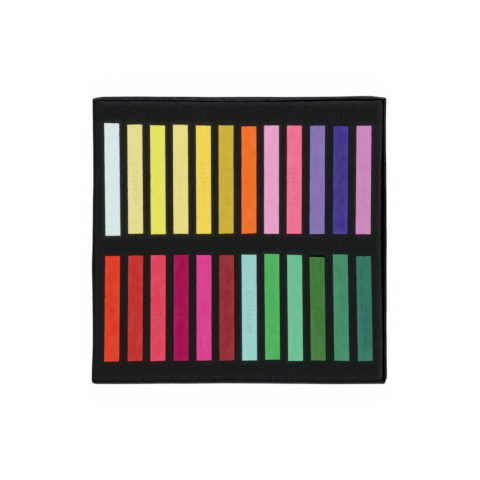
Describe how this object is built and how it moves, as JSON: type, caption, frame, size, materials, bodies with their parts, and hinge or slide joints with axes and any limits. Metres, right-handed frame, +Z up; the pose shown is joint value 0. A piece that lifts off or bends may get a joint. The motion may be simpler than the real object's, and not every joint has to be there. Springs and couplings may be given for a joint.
{
  "type": "pastel tray",
  "caption": "Shallow open paperboard tray with a slotted foam insert that holds square soft pastel sticks side by side in two rows.",
  "frame": {"origin": "middle of the tray's underside, on the surface that the tray stands on", "axes": "+X along the rows of sticks to the right, +Y along the sticks to the back row, +Z up and out of the tray"},
  "size_m": [0.1764, 0.172, 0.013],
  "materials": {
    "black_paperboard": "matte",
    "black_foam": "matte",
    "pastel_vermilion": "matte",
    "pastel_red": "matte",
    "pastel_coral_red": "matte",
    "pastel_crimson": "matte",
    "pastel_magenta": "matte",
    "pastel_maroon": "matte",
    "pastel_mint": "matte",
    "pastel_leaf_green": "matte",
    "pastel_sea_green": "matte",
    "pastel_moss_green": "matte",
    "pastel_viridian": "matte",
    "pastel_teal": "matte",
    "pastel_ice_blue": "matte",
    "pastel_cream_yellow": "matte",
    "pastel_lemon_yellow": "matte",
    "pastel_pale_yellow": "matte",
    "pastel_golden_yellow": "matte",
    "pastel_ochre": "matte",
    "pastel_orange": "matte",
    "pastel_pale_pink": "matte",
    "pastel_rose_pink": "matte",
    "pastel_lavender": "matte",
    "pastel_violet": "matte",
    "pastel_orchid": "matte"
  },
  "bodies": {
    "tray": {"tray": "black_paperboard"},
    "insert": {"foam_backing": "black_foam", "foam_slotted": "black_foam"},
    "stick_vermilion": {"stick_vermilion": "pastel_vermilion"},
    "stick_red": {"stick_red": "pastel_red"},
    "stick_coral_red": {"stick_coral_red": "pastel_coral_red"},
    "stick_crimson": {"stick_crimson": "pastel_crimson"},
    "stick_magenta": {"stick_magenta": "pastel_magenta"},
    "stick_maroon": {"stick_maroon": "pastel_maroon"},
    "stick_mint": {"stick_mint": "pastel_mint"},
    "stick_leaf_green": {"stick_leaf_green": "pastel_leaf_green"},
    "stick_sea_green": {"stick_sea_green": "pastel_sea_green"},
    "stick_moss_green": {"stick_moss_green": "pastel_moss_green"},
    "stick_viridian": {"stick_viridian": "pastel_viridian"},
    "stick_teal": {"stick_teal": "pastel_teal"},
    "stick_ice_blue": {"stick_ice_blue": "pastel_ice_blue"},
    "stick_cream_yellow": {"stick_cream_yellow": "pastel_cream_yellow"},
    "stick_lemon_yellow": {"stick_lemon_yellow": "pastel_lemon_yellow"},
    "stick_pale_yellow": {"stick_pale_yellow": "pastel_pale_yellow"},
    "stick_golden_yellow": {"stick_golden_yellow": "pastel_golden_yellow"},
    "stick_ochre": {"stick_ochre": "pastel_ochre"},
    "stick_orange": {"stick_orange": "pastel_orange"},
    "stick_pale_pink": {"stick_pale_pink": "pastel_pale_pink"},
    "stick_rose_pink": {"stick_rose_pink": "pastel_rose_pink"},
    "stick_lavender": {"stick_lavender": "pastel_lavender"},
    "stick_violet": {"stick_violet": "pastel_violet"},
    "stick_orchid": {"stick_orchid": "pastel_orchid"}
  },
  "joints": [
    {"name": "insert_lift", "type": "slide", "parent": "tray", "child": "insert", "axis": [0, 0, 1], "range_m": [0, 0.025]},
    {"name": "lift_vermilion", "type": "slide", "parent": "insert", "child": "stick_vermilion", "axis": [0, 0, 1], "range_m": [0, 0.02]},
    {"name": "lift_red", "type": "slide", "parent": "insert", "child": "stick_red", "axis": [0, 0, 1], "range_m": [0, 0.02]},
    {"name": "lift_coral_red", "type": "slide", "parent": "insert", "child": "stick_coral_red", "axis": [0, 0, 1], "range_m": [0, 0.02]},
    {"name": "lift_crimson", "type": "slide", "parent": "insert", "child": "stick_crimson", "axis": [0, 0, 1], "range_m": [0, 0.02]},
    {"name": "lift_magenta", "type": "slide", "parent": "insert", "child": "stick_magenta", "axis": [0, 0, 1], "range_m": [0, 0.02]},
    {"name": "lift_maroon", "type": "slide", "parent": "insert", "child": "stick_maroon", "axis": [0, 0, 1], "range_m": [0, 0.02]},
    {"name": "lift_mint", "type": "slide", "parent": "insert", "child": "stick_mint", "axis": [0, 0, 1], "range_m": [0, 0.02]},
    {"name": "lift_leaf_green", "type": "slide", "parent": "insert", "child": "stick_leaf_green", "axis": [0, 0, 1], "range_m": [0, 0.02]},
    {"name": "lift_sea_green", "type": "slide", "parent": "insert", "child": "stick_sea_green", "axis": [0, 0, 1], "range_m": [0, 0.02]},
    {"name": "lift_moss_green", "type": "slide", "parent": "insert", "child": "stick_moss_green", "axis": [0, 0, 1], "range_m": [0, 0.02]},
    {"name": "lift_viridian", "type": "slide", "parent": "insert", "child": "stick_viridian", "axis": [0, 0, 1], "range_m": [0, 0.02]},
    {"name": "lift_teal", "type": "slide", "parent": "insert", "child": "stick_teal", "axis": [0, 0, 1], "range_m": [0, 0.02]},
    {"name": "lift_ice_blue", "type": "slide", "parent": "insert", "child": "stick_ice_blue", "axis": [0, 0, 1], "range_m": [0, 0.02]},
    {"name": "lift_cream_yellow", "type": "slide", "parent": "insert", "child": "stick_cream_yellow", "axis": [0, 0, 1], "range_m": [0, 0.02]},
    {"name": "lift_lemon_yellow", "type": "slide", "parent": "insert", "child": "stick_lemon_yellow", "axis": [0, 0, 1], "range_m": [0, 0.02]},
    {"name": "lift_pale_yellow", "type": "slide", "parent": "insert", "child": "stick_pale_yellow", "axis": [0, 0, 1], "range_m": [0, 0.02]},
    {"name": "lift_golden_yellow", "type": "slide", "parent": "insert", "child": "stick_golden_yellow", "axis": [0, 0, 1], "range_m": [0, 0.02]},
    {"name": "lift_ochre", "type": "slide", "parent": "insert", "child": "stick_ochre", "axis": [0, 0, 1], "range_m": [0, 0.02]},
    {"name": "lift_orange", "type": "slide", "parent": "insert", "child": "stick_orange", "axis": [0, 0, 1], "range_m": [0, 0.02]},
    {"name": "lift_pale_pink", "type": "slide", "parent": "insert", "child": "stick_pale_pink", "axis": [0, 0, 1], "range_m": [0, 0.02]},
    {"name": "lift_rose_pink", "type": "slide", "parent": "insert", "child": "stick_rose_pink", "axis": [0, 0, 1], "range_m": [0, 0.02]},
    {"name": "lift_lavender", "type": "slide", "parent": "insert", "child": "stick_lavender", "axis": [0, 0, 1], "range_m": [0, 0.02]},
    {"name": "lift_violet", "type": "slide", "parent": "insert", "child": "stick_violet", "axis": [0, 0, 1], "range_m": [0, 0.02]},
    {"name": "lift_orchid", "type": "slide", "parent": "insert", "child": "stick_orchid", "axis": [0, 0, 1], "range_m": [0, 0.02]}
  ]
}
